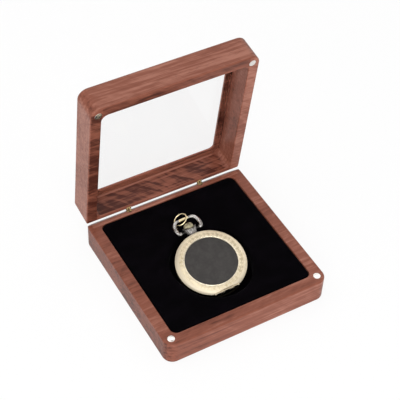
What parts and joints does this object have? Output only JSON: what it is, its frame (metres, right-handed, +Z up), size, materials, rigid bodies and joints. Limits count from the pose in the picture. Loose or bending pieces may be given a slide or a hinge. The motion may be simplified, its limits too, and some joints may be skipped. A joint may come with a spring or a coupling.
{
  "type": "pocket watch display box",
  "caption": "Square walnut box with a windowed lid on barrel hinges and magnet catches, and a velvet pad with a round seat holding a cased pocket watch",
  "frame": {"origin": "middle of the flat underside of the base, on the surface the box stands on", "axes": "+X right along the hinge line, seen from the front; +Y from the front to the hinges; +Z up"},
  "size_m": [0.118, 0.1339, 0.1341],
  "materials": {
    "walnut": "satin oiled walnut",
    "clear_pane": "clear polished",
    "magnet_metal": "nickel plated",
    "hinge_brass": "polished",
    "steel_pin": "plain",
    "card_board": "matt grey board",
    "foam": "soft dark foam",
    "velvet": "black velvet",
    "case_brass": "aged pale brass",
    "cover_plate": "dark satin",
    "crystal_glass": "clear polished",
    "dial_white": "satin enamel",
    "hand_steel": "dark polished",
    "movement_brass": "gilt",
    "ring_plastic": "moulded",
    "pendant_metal": "aged silver",
    "crown_brass": "aged"
  },
  "bodies": {
    "base": {"base_body": "walnut", "base_magnet_left": "magnet_metal", "base_magnet_right": "magnet_metal", "left_hinge_base_barrel": "hinge_brass", "right_hinge_base_barrel": "hinge_brass", "left_hinge_base_pin": "steel_pin", "right_hinge_base_pin": "steel_pin", "pad_board": "card_board", "pad_foam": "foam", "pad_velvet": "velvet"},
    "hinge_links": {"left_hinge_links": "hinge_brass", "right_hinge_links": "hinge_brass"},
    "lid": {"lid_frame": "walnut", "window_pane": "clear_pane", "lid_magnet_left": "magnet_metal", "lid_magnet_right": "magnet_metal", "left_hinge_lid_barrel": "hinge_brass", "right_hinge_lid_barrel": "hinge_brass", "left_hinge_lid_pin": "steel_pin", "right_hinge_lid_pin": "steel_pin"},
    "watch": {"watch_case_band": "pendant_metal", "watch_case_back": "pendant_metal", "watch_crystal": "crystal_glass", "watch_dial": "dial_white", "watch_movement": "movement_brass", "watch_movement_spacer": "ring_plastic", "watch_pendant": "pendant_metal", "watch_bow_pins": "steel_pin", "watch_cover_pin": "steel_pin"},
    "watch_cover": {"watch_front_cover": "case_brass", "watch_cover_inlay": "cover_plate"},
    "watch_minute": {"watch_minute_hand": "hand_steel", "watch_hand_arbor": "steel_pin"},
    "watch_hour": {"watch_hour_hand": "hand_steel"},
    "watch_winding_stem": {"watch_stem": "steel_pin"},
    "watch_winding_crown": {"watch_crown": "crown_brass"},
    "watch_bow_loop": {"watch_bow": "pendant_metal"},
    "watch_ring": {"watch_jump_ring": "case_brass"}
  },
  "joints": [
    {"name": "lid_hinge", "type": "hinge", "parent": "hinge_links", "child": "lid", "pos_m": [0, 0.05678, 0.0191], "axis": [-1, 0, 0], "range_deg": [-41.3, 0]},
    {"name": "link_hinge", "type": "hinge", "parent": "base", "child": "hinge_links", "pos_m": [0, 0.0548, 0.01685], "axis": [-1, 0, 0], "range_deg": [-41.3, 0]},
    {"name": "watch_lift", "type": "slide", "parent": "base", "child": "watch", "axis": [0, 0, 1], "range_m": [0, 0.06]},
    {"name": "cover_hinge", "type": "hinge", "parent": "watch", "child": "watch_cover", "pos_m": [-0.00155, -0.03243, 0.01334], "axis": [0.9962, -0.0189, 0.0851], "range_deg": [0, 60]},
    {"name": "minute_hand_turn", "type": "hinge", "parent": "watch", "child": "watch_minute", "pos_m": [-0.0016, -0.0117, 0.0185], "axis": [-0.0872, -0.2156, 0.9726], "continuous": true},
    {"name": "hour_hand_turn", "type": "hinge", "parent": "watch", "child": "watch_hour", "pos_m": [-0.0016, -0.0117, 0.0185], "axis": [-0.0872, -0.2156, 0.9726], "continuous": true},
    {"name": "crown_pull", "type": "slide", "parent": "watch", "child": "watch_winding_stem", "axis": [0, 0.9763, 0.2164], "range_m": [0, 0.0005]},
    {"name": "crown_turn", "type": "hinge", "parent": "watch_winding_stem", "child": "watch_winding_crown", "pos_m": [-0.00138, 0.0158, 0.02199], "axis": [0, 0.9763, 0.2164], "continuous": true},
    {"name": "bow_swing", "type": "hinge", "parent": "watch", "child": "watch_bow_loop", "pos_m": [-0.00138, 0.01628, 0.0221], "axis": [0.9962, -0.0189, 0.0851], "range_deg": [-8, 123]},
    {"name": "jump_ring_swing", "type": "hinge", "parent": "watch_bow_loop", "child": "watch_ring", "pos_m": [-0.00125, 0.02645, 0.02291], "axis": [0.9962, -0.0189, 0.0851], "range_deg": [0, 30]}
  ],
  "couplings": [
    {"joint": "link_hinge", "follows": "lid_hinge", "ratio": 1},
    {"joint": "hour_hand_turn", "follows": "minute_hand_turn", "ratio": 0.083333}
  ]
}
